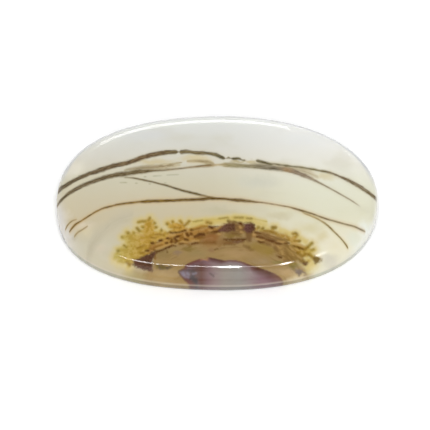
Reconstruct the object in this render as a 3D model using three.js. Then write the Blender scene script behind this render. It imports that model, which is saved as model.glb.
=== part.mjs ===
// A polished oval cabochon of dendritic agate, cut from one piece of chalcedony: flat back, low wall round
// the girdle, rounded shoulder and a gently domed crown. Millimetres, +Z up, the long axis along X.
// The origin is the middle of the flat back, and -Y is the side that carries the plume.
import * as THREE from "three";

// Driving dimensions of the whole stone
const LENGTH = 45;
const WIDTH = 26.35;
const THICKNESS = 4.5;

// The oval: an ellipse a little fuller between its ends and its sides, by a share of its own in each quarter,
// because it was shaped by hand
const FULLNESS_BACK_RIGHT = 0.016;
const FULLNESS_BACK_LEFT = 0.05;
const FULLNESS_FRONT_LEFT = 0.076;
const FULLNESS_FRONT_RIGHT = 0.044;
const LEFT_END_NARROWER = 0.024;
const ENDS_LEANING = 0.13;

// The edge, from the back upwards
const BACK_BEVEL = 0.4;
const GIRDLE_TOP = 1.5;
const SHOULDER_REACH = 3;
const SHOULDER_RISE = 2.3;
const SHOULDER_TURN = THREE.MathUtils.degToRad(79.6);

// How finely the curves are cut
const STEPS_ROUND = 96;
const STEPS_BEVEL = 2;
const STEPS_SHOULDER = 9;
const STEPS_CROWN = 7;

// Where the shoulder hands over to the crown: how far in from the rim, and how high
const CROWN_INSET = SHOULDER_REACH * (1 - Math.cos(SHOULDER_TURN));
const CROWN_EDGE_HEIGHT = GIRDLE_TOP + SHOULDER_RISE * Math.sin(SHOULDER_TURN);

// A point on the widest outline, at a turn of t radians from +X
function rimPoint(t) {
  const along = Math.cos(t);
  const across = Math.sin(t);
  const backQuarter = along > 0 ? FULLNESS_BACK_RIGHT : FULLNESS_BACK_LEFT;
  const frontQuarter = along > 0 ? FULLNESS_FRONT_RIGHT : FULLNESS_FRONT_LEFT;
  const fuller = 1 + (across > 0 ? backQuarter : frontQuarter) * Math.sin(2 * t) ** 2;
  const taper = 1 + LEFT_END_NARROWER * along;
  return new THREE.Vector2(
    (LENGTH / 2) * along * fuller,
    (WIDTH / 2) * across * fuller * taper + ENDS_LEANING * along ** 3,
  );
}

// The same point moved in from the rim, square to the outline, so that the shoulder is equally wide all round
function insetPoint(t, inset) {
  const step = 1e-3;
  const along = rimPoint(t + step).sub(rimPoint(t - step)).normalize();
  return rimPoint(t).add(new THREE.Vector2(-along.y, along.x).multiplyScalar(inset));
}

// Half of the cross-section: how far from the axis of a round blank, and how high
function crossSection() {
  const rim = WIDTH / 2;
  const backEdge = rim - BACK_BEVEL;
  const crownEdge = rim - CROWN_INSET;
  const bevel = new THREE.EllipseCurve(backEdge, BACK_BEVEL, BACK_BEVEL, BACK_BEVEL, -Math.PI / 2, 0);
  const shoulder = new THREE.EllipseCurve(
    rim - SHOULDER_REACH, GIRDLE_TOP, SHOULDER_REACH, SHOULDER_RISE, 0, SHOULDER_TURN,
  );
  const crown = new THREE.QuadraticBezierCurve(
    new THREE.Vector2(crownEdge, CROWN_EDGE_HEIGHT),
    new THREE.Vector2(crownEdge / 2, THICKNESS),
    new THREE.Vector2(0, THICKNESS),
  );
  return [
    new THREE.Vector2(0, 0),
    ...bevel.getPoints(STEPS_BEVEL),
    ...shoulder.getPoints(STEPS_SHOULDER),
    ...crown.getPoints(STEPS_CROWN).slice(1),
  ];
}

// The round blank is turned first, then each of its rings is drawn out to the oval
function stoneGeometry() {
  const blank = new THREE.LatheGeometry(crossSection(), STEPS_ROUND);
  const places = blank.getAttribute("position");
  const crownRadius = WIDTH / 2 - CROWN_INSET;
  for (let i = 0; i < places.count; i += 1) {
    const [x, height, z] = [places.getX(i), places.getY(i), places.getZ(i)];
    const radius = Math.hypot(x, z);
    const turn = Math.atan2(x, z);
    const inset = Math.min(WIDTH / 2 - radius, CROWN_INSET);
    const share = Math.min(radius / crownRadius, 1);
    const spot = insetPoint(turn, inset).multiplyScalar(share);
    places.setXYZ(i, spot.x, spot.y, height);
  }
  blank.computeBoundingBox();
  const middle = blank.boundingBox.getCenter(new THREE.Vector3());
  blank.translate(-middle.x, -middle.y, 0);
  blank.computeVertexNormals();
  return blank;
}

const agate = new THREE.MeshStandardMaterial({ color: 0xd8d3bd, roughness: 0.08, metalness: 0 });
const stone = new THREE.Mesh(stoneGeometry(), agate);
stone.name = "agate_cabochon";

const specimen = new THREE.Group();
specimen.add(stone);

export default specimen;
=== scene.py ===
import math

import bmesh
import bpy
import numpy as np
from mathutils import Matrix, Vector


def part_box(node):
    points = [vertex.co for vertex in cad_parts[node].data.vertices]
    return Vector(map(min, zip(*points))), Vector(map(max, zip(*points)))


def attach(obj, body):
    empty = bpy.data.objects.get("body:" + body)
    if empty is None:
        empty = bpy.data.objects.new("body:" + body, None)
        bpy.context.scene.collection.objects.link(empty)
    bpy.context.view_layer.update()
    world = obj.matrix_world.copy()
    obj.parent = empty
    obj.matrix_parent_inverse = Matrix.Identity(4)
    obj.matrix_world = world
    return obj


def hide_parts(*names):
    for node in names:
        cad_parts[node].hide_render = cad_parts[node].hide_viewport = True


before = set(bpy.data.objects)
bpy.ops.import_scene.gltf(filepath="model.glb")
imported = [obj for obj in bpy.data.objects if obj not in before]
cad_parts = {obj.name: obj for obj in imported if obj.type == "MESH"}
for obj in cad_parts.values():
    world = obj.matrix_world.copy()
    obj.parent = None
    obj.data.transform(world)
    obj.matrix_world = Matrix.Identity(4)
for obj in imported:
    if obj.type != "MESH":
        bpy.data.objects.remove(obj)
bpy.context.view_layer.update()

bpy.context.scene.view_settings.view_transform = "Standard"
MM = 0.001

# The camera looks down on the stone from its front edge, 64 degrees above the table and 40 cm away, through
# a long lens, so that the oval fills three quarters of the picture's width. The picture is square.
CAMERA_ELEVATION = math.radians(64)
CAMERA_DISTANCE = 400 * MM
CAMERA_TARGET = (-0.33 * MM, -2.43 * MM, 2.0 * MM)
CAMERA_LENS = 240
SENSOR_WIDTH = 36

bpy.ops.object.select_all(action="DESELECT")
bpy.ops.object.camera_add(
    location=(
        CAMERA_TARGET[0],
        CAMERA_TARGET[1] - CAMERA_DISTANCE * math.cos(CAMERA_ELEVATION),
        CAMERA_TARGET[2] + CAMERA_DISTANCE * math.sin(CAMERA_ELEVATION),
    ),
    rotation=(math.pi / 2 - CAMERA_ELEVATION, 0, 0),
)
camera = bpy.context.object
camera.name = "camera"
camera.data.lens = CAMERA_LENS
camera.data.sensor_width = SENSOR_WIDTH
camera.data.clip_start = 10 * MM
bpy.context.scene.camera = camera

# The stone is one piece of translucent chalcedony, sawn as a slab across its layers, ground to an oval by
# hand on a wheel and polished all over. It has a flat back with a broken edge, a low wall, a rounded
# shoulder and a low domed crown.
LOW_CORNER, HIGH_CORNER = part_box("agate_cabochon")
LENGTH = HIGH_CORNER.x - LOW_CORNER.x
WIDTH = HIGH_CORNER.y - LOW_CORNER.y
THICKNESS = HIGH_CORNER.z - LOW_CORNER.z
FULLNESS_BACK_RIGHT = 0.016
FULLNESS_BACK_LEFT = 0.05
FULLNESS_FRONT_LEFT = 0.076
FULLNESS_FRONT_RIGHT = 0.044
LEFT_END_NARROWER = 0.024
ENDS_LEANING = 0.13 * MM
BACK_BEVEL = 0.4 * MM
GIRDLE_TOP = 1.5 * MM
SHOULDER_REACH = 3 * MM
SHOULDER_RISE = 2.3 * MM
SHOULDER_TURN = math.radians(79.6)
RIM_POINTS = 560
SHOULDER_RINGS = 14
BEVEL_RINGS = 3
CROWN_EDGE_HEIGHT = GIRDLE_TOP + SHOULDER_RISE * math.sin(SHOULDER_TURN)
NET_COLUMNS = 180
NET_TURN = 50
EDGE_SECTORS = 280
PLUME_TOP = -3.2 * MM
PLUME_HALF_WIDTH = 15.4 * MM
TINY = 0.001 * MM


def shape_outline(piece):
    """Draw the round disc out to the stone's oval, each quarter fuller by its own share, and centre it."""
    for point in piece.data.vertices:
        along = point.co.x
        across = point.co.y
        if across > 0:
            fullness = FULLNESS_BACK_RIGHT if along > 0 else FULLNESS_BACK_LEFT
        else:
            fullness = FULLNESS_FRONT_RIGHT if along > 0 else FULLNESS_FRONT_LEFT
        fuller = 1 + fullness * (2 * along * across) ** 2
        taper = 1 + LEFT_END_NARROWER * along
        point.co.x = LENGTH / 2 * along * fuller
        point.co.y = WIDTH / 2 * across * fuller * taper + ENDS_LEANING * along ** 3
    across = [point.co.y for point in piece.data.vertices]
    middle = (max(across) + min(across)) / 2
    for point in piece.data.vertices:
        point.co.y -= middle


def choose(piece, kind, wanted):
    """In edit mode, select only the faces or edges whose middle passes the test."""
    shape = bmesh.from_edit_mesh(piece.data)
    bpy.ops.mesh.select_all(action="DESELECT")
    bpy.ops.mesh.select_mode(type=kind)
    for part in shape.faces if kind == "FACE" else shape.edges:
        corners = [corner.co for corner in part.verts]
        if wanted(sum(corners, corners[0] * 0) / len(corners), corners):
            part.select_set(True)
    bmesh.update_edit_mesh(piece.data)


bpy.ops.object.select_all(action="DESELECT")
bpy.ops.mesh.primitive_circle_add(vertices=RIM_POINTS, radius=1, fill_type="NGON")
stone = bpy.context.object
stone.name = "polished_agate"
shape_outline(stone)

bpy.ops.object.mode_set(mode="EDIT")
bpy.ops.mesh.select_all(action="SELECT")
bpy.ops.mesh.extrude_region_move(TRANSFORM_OT_translate={"value": (0, 0, GIRDLE_TOP)})
for ring in range(SHOULDER_RINGS):
    turn_before = SHOULDER_TURN * ring / SHOULDER_RINGS
    turn_after = SHOULDER_TURN * (ring + 1) / SHOULDER_RINGS
    bpy.ops.mesh.inset(
        thickness=SHOULDER_REACH * (math.cos(turn_before) - math.cos(turn_after)),
        depth=SHOULDER_RISE * (math.sin(turn_after) - math.sin(turn_before)),
    )

# The crown and the back are filled with an even net of small squares instead of one large face
choose(stone, "EDGE", lambda middle, corners: middle.z < TINY and corners[0].z == corners[1].z)
bpy.ops.mesh.bevel(offset=BACK_BEVEL, segments=BEVEL_RINGS, affect="EDGES")
for level in (0, CROWN_EDGE_HEIGHT):
    choose(stone, "FACE", lambda middle, corners: len(corners) == RIM_POINTS and abs(middle.z - level) < TINY)
    bpy.ops.mesh.delete(type="ONLY_FACE")
    choose(stone, "EDGE", lambda middle, corners: all(abs(c.z - level) < TINY for c in corners))
    bpy.ops.mesh.fill_grid(span=NET_COLUMNS, offset=NET_TURN)
choose(stone, "FACE", lambda middle, corners: (
    middle.z > GIRDLE_TOP / 2 and middle.y < PLUME_TOP and abs(middle.x) < PLUME_HALF_WIDTH
))
bpy.ops.mesh.subdivide(number_cuts=1)
bpy.ops.mesh.select_all(action="SELECT")
bpy.ops.mesh.normals_make_consistent(inside=False)
bpy.ops.object.mode_set(mode="OBJECT")


def dome_crown(piece):
    """Raise the flat crown to its dome, which falls off from its middle as the square of the way out."""
    crown = [point for point in piece.data.vertices if abs(point.co.z - CROWN_EDGE_HEIGHT) < TINY]
    turn = np.array([math.atan2(point.co.y, point.co.x) for point in crown])
    reach = np.array([math.hypot(point.co.x, point.co.y) for point in crown])
    bins = np.floor((turn + math.pi) / (2 * math.pi) * EDGE_SECTORS).astype(int) % EDGE_SECTORS
    edge_reach = np.zeros(EDGE_SECTORS)
    np.maximum.at(edge_reach, bins, reach)
    sector_turns = (np.arange(EDGE_SECTORS) + 0.5) / EDGE_SECTORS * 2 * math.pi - math.pi
    share = reach / np.interp(turn, sector_turns, edge_reach, period=2 * math.pi)
    for point, out in zip(crown, np.minimum(share, 1)):
        point.co.z = THICKNESS - (THICKNESS - CROWN_EDGE_HEIGHT) * out ** 2


dome_crown(stone)
bpy.ops.object.shade_smooth()

# The plume is a spray of iron and manganese stains that grew from the front edge like moss. Its limbs are
# drawn here as strokes, (x, y, radius) in mm on the plan of the stone, and its blocks as outlines. Each point
# of the mesh keeps how far it lies from them, and the finish decides from that where a stain begins.
YELLOW_HAZE = (
    (
        (-3.6, -5, 0.3), (-1.6, -4.7, 0.35), (0.6, -4.5, 0.35), (2.4, -4.3, 0.45), (4.4, -4.4, 0.35),
        (6.6, -5.2, 0.2),
    ),
    ((5.6, -5.2, 0.1), (7, -5.6, 0.2)),
    ((8.6, -5.8, 0.1), (9.9, -6.4, 0.2), (11.6, -7, 0.1), (12.2, -7.5, 0.2)),
    ((12.3, -9.9, 0.2), (13.2, -10.4, 0.2), (12.4, -11, 0.1)),
    ((-8.4, -5.8, 0.1), (-7.6, -6.1, 0.15)),
    ((-12.3, -7.2, 0.5), (-11, -6.5, 0.5), (-9.9, -6.2, 0.5)),
    ((-13.2, -9.1, 0.4), (-11.9, -8, 0.5), (-10.4, -7.8, 0.6)),
)
GOLD_LIMBS = (
    # left tree: trunk, top with its two points, left arm, right flank
    ((-9.5, -4.6, 0.45), (-9.55, -5.3, 0.65), (-9.5, -6.1, 0.75), (-9.3, -7, 1), (-9.6, -8, 0.9)),
    ((-9.6, -4.6, 0.3), (-9.35, -4, 0.14)),
    ((-9.4, -4.8, 0.3), (-9.05, -4.4, 0.14)),
    ((-9.8, -4.6, 0.25), (-10.4, -4.5, 0.16), (-10.95, -4.6, 0.12)),
    ((-9, -5.1, 0.2), (-8.7, -4.75, 0.12)),
    ((-9, -5.5, 0.25), (-8.5, -5.4, 0.2)),
    ((-9.1, -6.2, 0.3), (-8.2, -6.6, 0.45), (-7.3, -6.7, 0.4), (-6.9, -7.2, 0.35)),
    ((-8, -6.4, 0.25), (-7.75, -5.9, 0.14)),
    ((-9.2, -7, 0.6), (-7.8, -6.9, 0.4), (-7.2, -6.3, 0.25)),
    # left tree: middle limb with its bumps
    ((-9.6, -7.2, 0.7), (-11, -7.2, 0.55), (-12.2, -6.75, 0.5), (-13, -6.85, 0.25)),
    ((-12.2, -6.5, 0.35), (-12.5, -6.15, 0.22)),
    ((-11.6, -6.7, 0.35), (-11.6, -6.2, 0.18)),
    ((-10.1, -6, 0.2), (-10.8, -5.95, 0.16), (-11.1, -5.55, 0.16)),
    ((-9.9, -5.5, 0.2), (-10.4, -5.3, 0.18)),
    # left tree: lower limb with its tips, the yellow bottom, and the part that meets the dark block
    ((-9.8, -8.3, 0.7), (-11.2, -8.2, 0.85), (-12.5, -8.6, 0.55), (-13.6, -8.75, 0.3)),
    ((-11.6, -7.6, 0.5), (-12.2, -7.6, 0.3)),
    ((-12.6, -8.4, 0.2), (-12.9, -8.05, 0.16)),
    ((-10.6, -9.1, 0.6), (-12.2, -9.4, 0.65), (-13.7, -9.4, 0.45), (-14.1, -9.7, 0.2)),
    ((-11.6, -10, 0.4), (-12.9, -10.15, 0.35), (-13.6, -10.1, 0.2)),
    ((-12, -10.3, 0.3), (-12.2, -10.75, 0.2)),
    ((-9.4, -8.8, 0.5), (-10.2, -9.3, 0.5), (-11.4, -9.9, 0.45)),
    # second tuft, and the fringe along the top of the arch
    ((-6.4, -5.3, 0.35), (-5.6, -5.3, 0.5), (-4.8, -5.4, 0.38)),
    ((-5.9, -5.7, 0.3), (-5, -5.7, 0.25)),
    ((-6.5, -5.1, 0.2), (-6.9, -4.85, 0.22)),
    ((-6.1, -5, 0.2), (-6.2, -4.6, 0.16)),
    ((-4.8, -5, 0.16), (-5.15, -4.5, 0.13)),
    ((-4.5, -5.2, 0.14), (-3.9, -4.55, 0.12)),
    ((-7, -6.6, 0.2), (-6.3, -6, 0.2), (-5.2, -5.9, 0.3), (-4.3, -5.7, 0.2)),
    ((-3.8, -5.75, 0.14), (-3, -5.6, 0.22), (-2.2, -5.3, 0.25), (-1.5, -5.25, 0.2)),
    ((-1.4, -4.75, 0.25), (-0.9, -4.85, 0.2)),
    # twigs on the right
    ((5.4, -5.7, 0.25), (5.65, -5.45, 0.18)),
    ((6, -5.9, 0.25), (6.3, -5.6, 0.18)),
    ((6.4, -6, 0.25), (7.6, -6.1, 0.3), (8.2, -6.4, 0.3)),
    ((7.55, -6, 0.25), (7.75, -5.45, 0.25), (8, -5.45, 0.2)),
    ((8.4, -6.6, 0.35), (9.4, -6.9, 0.45), (10, -7.2, 0.35)),
    ((10.3, -7.4, 0.3), (10.65, -6.9, 0.28)),
    ((10.5, -6.35, 0.13), (10.8, -6.35, 0.2), (10.95, -6.5, 0.15), (10.8, -6.8, 0.22)),
    ((10.3, -7.5, 0.25), (11.3, -7.4, 0.18)),
    ((10.4, -8.2, 0.4), (11.8, -8.5, 0.35), (12.5, -8.3, 0.2), (13, -7.75, 0.13)),
    ((11.6, -8.9, 0.4), (12.6, -8.8, 0.35), (13, -8.75, 0.22), (13.3, -8.58, 0.15)),
    ((10.6, -9, 0.5), (11.6, -9.3, 0.4), (12.6, -9.2, 0.35), (13, -9.5, 0.2), (13.4, -9.75, 0.2)),
    ((12.1, -10.5, 0.2), (12.55, -10.2, 0.14)),
)
GOLD_SHADES = (
    ((-11.1, -8.45, 0.08), (-10.6, -8.3, 0.12), (-10.1, -8, 0.1)),
    ((-9.2, -8.1, 0.12), (-8.5, -8.15, 0.12), (-7.6, -7.9, 0.1)),
    ((-8.5, -6.5, 0.1), (-8, -6.45, 0.12), (-7.4, -6.6, 0.1)),
    ((-9.2, -6.9, 0.1), (-8.6, -7, 0.12)),
    ((-10.6, -9.15, 0.14), (-10.1, -9.1, 0.12)),
    ((-5.9, -5.5, 0.1), (-5, -5.5, 0.1)),
    ((-6.9, -6.25, 0.1), (-6.5, -6.1, 0.1)),
    ((-3.7, -5.85, 0.18), (-3.2, -5.8, 0.16), (-2.7, -5.6, 0.14), (-2.2, -5.35, 0.12), (-1.3, -5.35, 0.1)),
    ((-12.5, -10.4, 0.08), (-12.05, -10.7, 0.18)),
    ((6.5, -5.95, 0.1), (7.4, -6.1, 0.2), (8, -6.3, 0.15)),
    ((9.3, -7.12, 0.06), (9.8, -7.25, 0.1)),
    ((10.6, -7.35, 0.08), (11.3, -7.4, 0.12)),
    ((10.3, -8.05, 0.14), (11, -8.2, 0.18), (11.6, -8.5, 0.18), (12.1, -8.6, 0.16), (12.5, -8.3, 0.14)),
    ((10.6, -9, 0.2), (11.2, -9.2, 0.2), (11.75, -9.6, 0.2)),
    (
        (11.75, -9.6, 0.18), (12.2, -9.25, 0.14), (12.6, -9.35, 0.14), (13.15, -9.75, 0.14),
        (13.4, -9.9, 0.12),
    ),
)
OLIVE_TIPS = (
    ((-10.95, -4.6, 0.12), (-10, -4.45, 0.12)),
    ((-9.35, -4, 0.12), (-9.5, -4.35, 0.1)),
    ((-8.75, -4.65, 0.08), (-8.65, -4.8, 0.14)),
    ((-8.5, -5.4, 0.15),),
    ((-10.3, -5.35, 0.15),),
    ((-11.1, -5.5, 0.16), (-10.8, -5.9, 0.15)),
    ((-7.75, -5.65, 0.08), (-7.75, -5.95, 0.12)),
    ((-12.35, -6.2, 0.16),),
    ((-11.55, -6.2, 0.12),),
    ((-13.2, -6.8, 0.12),),
    ((-12.85, -8.05, 0.12), (-12.6, -8.3, 0.08)),
    ((-13.7, -8.8, 0.18),),
    ((-6.95, -4.95, 0.16),),
    ((-6.2, -4.6, 0.12),),
    ((-5.15, -4.5, 0.1), (-4.95, -4.75, 0.09)),
    ((-3.9, -4.55, 0.14), (-4.3, -4.95, 0.12), (-4.6, -5.2, 0.08)),
    ((-1.4, -4.7, 0.16), (-0.9, -4.85, 0.12)),
    ((-3.3, -4.6, 0.05), (-2.7, -4.5, 0.08), (-2.1, -4.4, 0.06)),
    ((0.2, -4.15, 0.05), (1, -4.05, 0.09), (1.4, -4, 0.1)),
    ((2.4, -4, 0.1), (3.5, -4.02, 0.12)),
    ((4.1, -4.1, 0.1), (4.7, -4.15, 0.14)),
    ((2.2, -4.6, 0.16), (2.6, -4.65, 0.14)),
    ((1.5, -4.45, 0.2), (1.6, -4.75, 0.14)),
    ((3.9, -4.75, 0.1), (4.6, -4.75, 0.14)),
    ((5.7, -5.45, 0.18),),
    ((6.3, -5.6, 0.2),),
    ((7.6, -5.45, 0.18), (8, -5.45, 0.2)),
    ((10.45, -6.35, 0.12), (10.8, -6.2, 0.1), (11, -6.3, 0.12), (11.05, -6.55, 0.06)),
    ((11.35, -7.4, 0.12),),
    ((12.5, -8.15, 0.1), (13.1, -7.65, 0.14)),
    ((12.95, -8.7, 0.04), (13.25, -8.6, 0.1)),
    ((13.8, -10.1, 0.1), (14.4, -10, 0.05)),
    ((10.1, -10.95, 0.2), (10.5, -11.1, 0.25)),
    ((-8.3, -10.9, 0.16), (-8.3, -11.2, 0.16)),
    ((-7.7, -11.15, 0.14), (-7.3, -11.25, 0.12)),
)
BROWN_ARCH = (
    ((-9.3, -8.95, 0.3), (-8.8, -8.3, 0.45), (-8, -8, 0.5), (-7, -7.6, 0.6), (-6, -7.1, 0.75)),
    ((-6, -7.1, 0.75), (-5, -6.9, 0.85), (-4, -6.8, 0.9), (-3, -6.5, 0.8), (-2, -6.1, 0.6)),
    ((-2, -6.1, 0.6), (-1, -5.75, 0.45), (0.2, -5.8, 0.4), (1, -5.5, 0.5), (2, -5.4, 0.7)),
    ((2, -5.4, 0.7), (3.1, -5.5, 0.6), (4.4, -5.8, 0.7), (5.4, -6.6, 0.5), (6.5, -6.85, 0.8)),
    ((6.5, -6.85, 0.8), (8, -7.4, 0.8), (9.3, -8.1, 0.7), (10.2, -8.95, 0.6), (11.1, -9.8, 0.35)),
    ((11.1, -9.8, 0.35), (12, -10.5, 0.25)),
    ((8.6, -8.2, 0.6), (9, -9.1, 0.7), (9.7, -9.6, 0.6), (10.8, -10, 0.4)),
)
BROWN_SHADES = (
    # left half of the arch
    ((-9.3, -8.5, 0.12), (-8.8, -8.7, 0.2)),
    ((-8.7, -8.4, 0.2), (-8, -8.12, 0.18), (-7.6, -8.1, 0.1)),
    ((-8.6, -7.7, 0.1), (-8.2, -7.65, 0.12)),
    ((-8.6, -9.3, 0.16), (-8.6, -9.9, 0.16)),
    ((-6.5, -7, 0.1), (-6.3, -7.3, 0.2), (-6.4, -7.6, 0.22)),
    ((-5.2, -7.9, 0.16), (-4.9, -7.85, 0.14), (-4.3, -7.8, 0.12), (-3.8, -8.05, 0.14)),
    ((-5, -6.75, 0.15), (-4.75, -6.95, 0.15), (-4.3, -7.25, 0.15)),
    ((-4.4, -6.3, 0.15), (-4, -6.7, 0.2)),
    ((-3.5, -6.8, 0.12), (-3.1, -6.85, 0.15), (-2.6, -6.6, 0.25), (-1.8, -6.5, 0.22)),
    ((-3.5, -7.95, 0.12), (-2.7, -7.75, 0.16), (-1.5, -7.7, 0.2), (-0.3, -7.7, 0.2)),
    ((-1.4, -6.3, 0.2), (-0.6, -6.3, 0.2), (0.2, -6.15, 0.15)),
    ((-2.7, -6.9, 0.2), (-2, -6.9, 0.2)),
    # under the crest
    ((0.9, -7.2, 0.08), (2.4, -7.2, 0.12), (3.9, -7.15, 0.08)),
    ((1.4, -7.55, 0.05), (2.6, -7.55, 0.2), (3.6, -7.5, 0.12)),
    ((1.2, -6.2, 0.1), (2.2, -6.35, 0.15), (3.2, -6.4, 0.15)),
    ((1, -7.9, 0.12), (2.4, -7.95, 0.12)),
    ((1.2, -5.7, 0.2), (2.6, -5.6, 0.2), (3, -5.75, 0.15)),
    ((2.3, -5.05, 0.2), (2.9, -5.2, 0.15)),
    ((3.55, -5.75, 0.15), (3.7, -5.5, 0.2)),
    ((4.35, -6.3, 0.5), (4.35, -6.9, 0.46), (4.4, -7.25, 0.34)),
    ((1.2, -6.1, 0.08), (3, -6.1, 0.1)),
    ((2.5, -5.1, 0.2), (2.8, -5.5, 0.2)),
    ((1.5, -4.6, 0.12), (2.5, -4.75, 0.16), (3.3, -4.85, 0.16)),
    ((3.1, -5.75, 0.16), (3.5, -5.75, 0.2)),
    ((3.7, -8.2, 0.12), (4.4, -8.4, 0.12)),
    # right half of the arch
    ((5.3, -6.2, 0.12), (6.2, -6.35, 0.15), (7, -6.6, 0.12)),
    ((5.5, -6.85, 0.15), (6.6, -7.15, 0.2), (7.6, -7.45, 0.25), (8.4, -7.8, 0.2)),
    ((5.6, -7.5, 0.12), (6.2, -7.65, 0.15), (7.2, -7.95, 0.2)),
    ((7.95, -8.4, 0.24), (8.25, -8.9, 0.2)),
    ((8.2, -9.55, 0.08), (8.6, -9.75, 0.16)),
    ((8, -7.05, 0.12), (8.6, -7.2, 0.2), (9.5, -7.4, 0.2)),
    ((10.2, -9.3, 0.18), (10.5, -9.5, 0.14)),
    ((9.3, -8.5, 0.12), (9.7, -9.2, 0.14), (9.6, -9.6, 0.12)),
    ((10.3, -9.6, 0.15), (10.9, -9.85, 0.2), (11.5, -10.2, 0.22), (12, -10.5, 0.2)),
    ((9.2, -10.2, 0.12), (10, -10.15, 0.14)),
)
BROWN_THREADS = (
    # the two rows of dots, the net and the lower thread of the left half of the arch
    ((-9.85, -8.85, 0.15), (-9.55, -8.8, 0.15)),
    ((-9.1, -7.72, 0.16), (-8.9, -7.74, 0.18)),
    ((-8, -7.4, 0.17), (-7.75, -7.32, 0.2)),
    ((-7.1, -7.75, 0.17), (-6.9, -7.7, 0.15)),
    ((-6.95, -7.05, 0.15), (-6.7, -7.1, 0.12)),
    ((-8.45, -9, 0.19), (-8, -8.9, 0.16), (-7.5, -8.68, 0.13), (-7.1, -8.5, 0.17), (-6.7, -8.32, 0.17)),
    ((-6.7, -8.32, 0.17), (-6.2, -8.1, 0.14), (-5.7, -8.2, 0.06)),
    ((-6.95, -8.85, 0.05), (-6.9, -9.1, 0.05)),
    ((-6.5, -6.2, 0.1), (-6.1, -6.23, 0.14), (-5.4, -6.2, 0.1), (-5, -6.1, 0.12), (-4.7, -5.97, 0.14)),
    ((-4.7, -5.97, 0.14), (-4.4, -5.9, 0.14)),
    ((-6.3, -7.2, 0.08), (-6.35, -7.55, 0.18)),
    ((-5.3, -6.78, 0.16), (-5.6, -6.82, 0.17), (-5.9, -7, 0.15), (-5.72, -7.3, 0.15), (-5.6, -7.45, 0.15)),
    ((-5.6, -7.45, 0.15), (-5.78, -7.7, 0.1)),
    ((-4.2, -6.4, 0.16), (-4.05, -6.65, 0.18)),
    ((-3.65, -6.35, 0.17), (-3.6, -6.45, 0.18)),
    ((-4.5, -7.2, 0.14), (-4.1, -7.3, 0.16)),
    ((-5.1, -7.88, 0.1), (-4.8, -7.85, 0.08)),
    ((-3.6, -5.85, 0.14), (-3.4, -5.86, 0.1)),
    ((-3.1, -6.88, 0.14), (-2.85, -6.72, 0.12), (-2.5, -6.48, 0.2), (-1.9, -6.5, 0.2)),
    ((-3.5, -7.9, 0.1), (-3.1, -7.78, 0.14), (-2.75, -7.7, 0.1)),
    ((-1.1, -5.38, 0.18), (-0.75, -5.5, 0.21), (-0.4, -5.38, 0.08), (0.1, -5.33, 0.05)),
    ((-0.75, -6.15, 0.08), (-0.2, -6.1, 0.15), (0.2, -6.02, 0.17), (0.45, -5.8, 0.15)),
    ((-0.35, -8.75, 0.06), (0, -8.6, 0.05)),
    # the crest
    ((3.15, -4.88, 0.19), (3.4, -5.05, 0.15), (3.5, -5.2, 0.06)),
    ((5.1, -5.1, 0.08), (5.12, -5.7, 0.08)),
    ((0.9, -7.3, 0.05), (1.6, -7.28, 0.11), (2.8, -7.28, 0.13), (3.7, -7.26, 0.12), (4, -7.2, 0.05)),
    # the right half of the arch
    ((5.25, -6.2, 0.1), (5.6, -6.25, 0.1), (6, -6.35, 0.03)),
    ((5.45, -6.8, 0.1), (6.1, -6.95, 0.1), (6.5, -7.05, 0.03)),
    ((6.8, -7.25, 0.03), (7.2, -7.35, 0.12), (7.8, -7.5, 0.12)),
    ((8.05, -7.7, 0.08), (8.6, -7.85, 0.12), (8.9, -7.85, 0.05)),
    ((9.2, -7.75, 0.05), (9.5, -7.75, 0.1), (9.95, -7.7, 0.06)),
    ((8.45, -9.75, 0.08), (8.75, -9.8, 0.16)),
    ((5.7, -7.5, 0.1), (5.95, -7.65, 0.14), (6.4, -7.6, 0.08)),
    ((11.9, -10.5, 0.1), (12.15, -10.62, 0.15), (12.4, -10.4, 0.1)),
    ((10.5, -8.15, 0.06), (11.2, -8.35, 0.1), (11.8, -8.58, 0.08)),
    ((-11.65, -10.7, 0.12), (-11.45, -10.75, 0.12)),
)
FOOT_BLOCK = (
    (-8.65, -8.9), (-9.1, -9.05), (-9.5, -9.3), (-10, -9.5), (-10.6, -9.75), (-11.1, -9.95),
    (-11.75, -10.1), (-11.55, -10.4), (-11.45, -10.9), (-11.1, -11.1), (-10.5, -11.3), (-9.8, -11.5),
    (-9.2, -11.65), (-8.95, -11.65), (-8.95, -10.2), (-8.75, -9.8), (-8.5, -9.3),
)
CREST_LEFT = (
    (0.1, -6), (0.4, -5.65), (0.75, -5.35), (0.9, -5.1), (1.2, -4.85), (1.9, -4.85), (2.35, -4.9),
    (2.5, -5.3), (2.5, -5.95), (1.8, -6.1), (1.2, -6.15), (0.8, -6.2), (0.4, -6.2),
)
CREST_RIGHT = (
    (3.6, -5.85), (3.7, -5.4), (3.7, -4.95), (4.1, -4.8), (4.9, -4.8), (5.15, -4.95), (5.22, -5.5),
    (5.2, -5.85), (4.95, -6), (4.8, -6.25), (3.95, -6.25), (3.8, -6), (3.5, -5.9),
)
TWIG_BLOCK = (
    (13.2, -9.7), (13.4, -9.45), (13.8, -9.4), (14.1, -9.65), (14.5, -9.8), (14.1, -10), (13.9, -10.3),
    (13.45, -10.5), (13.25, -10.1),
)
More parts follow.
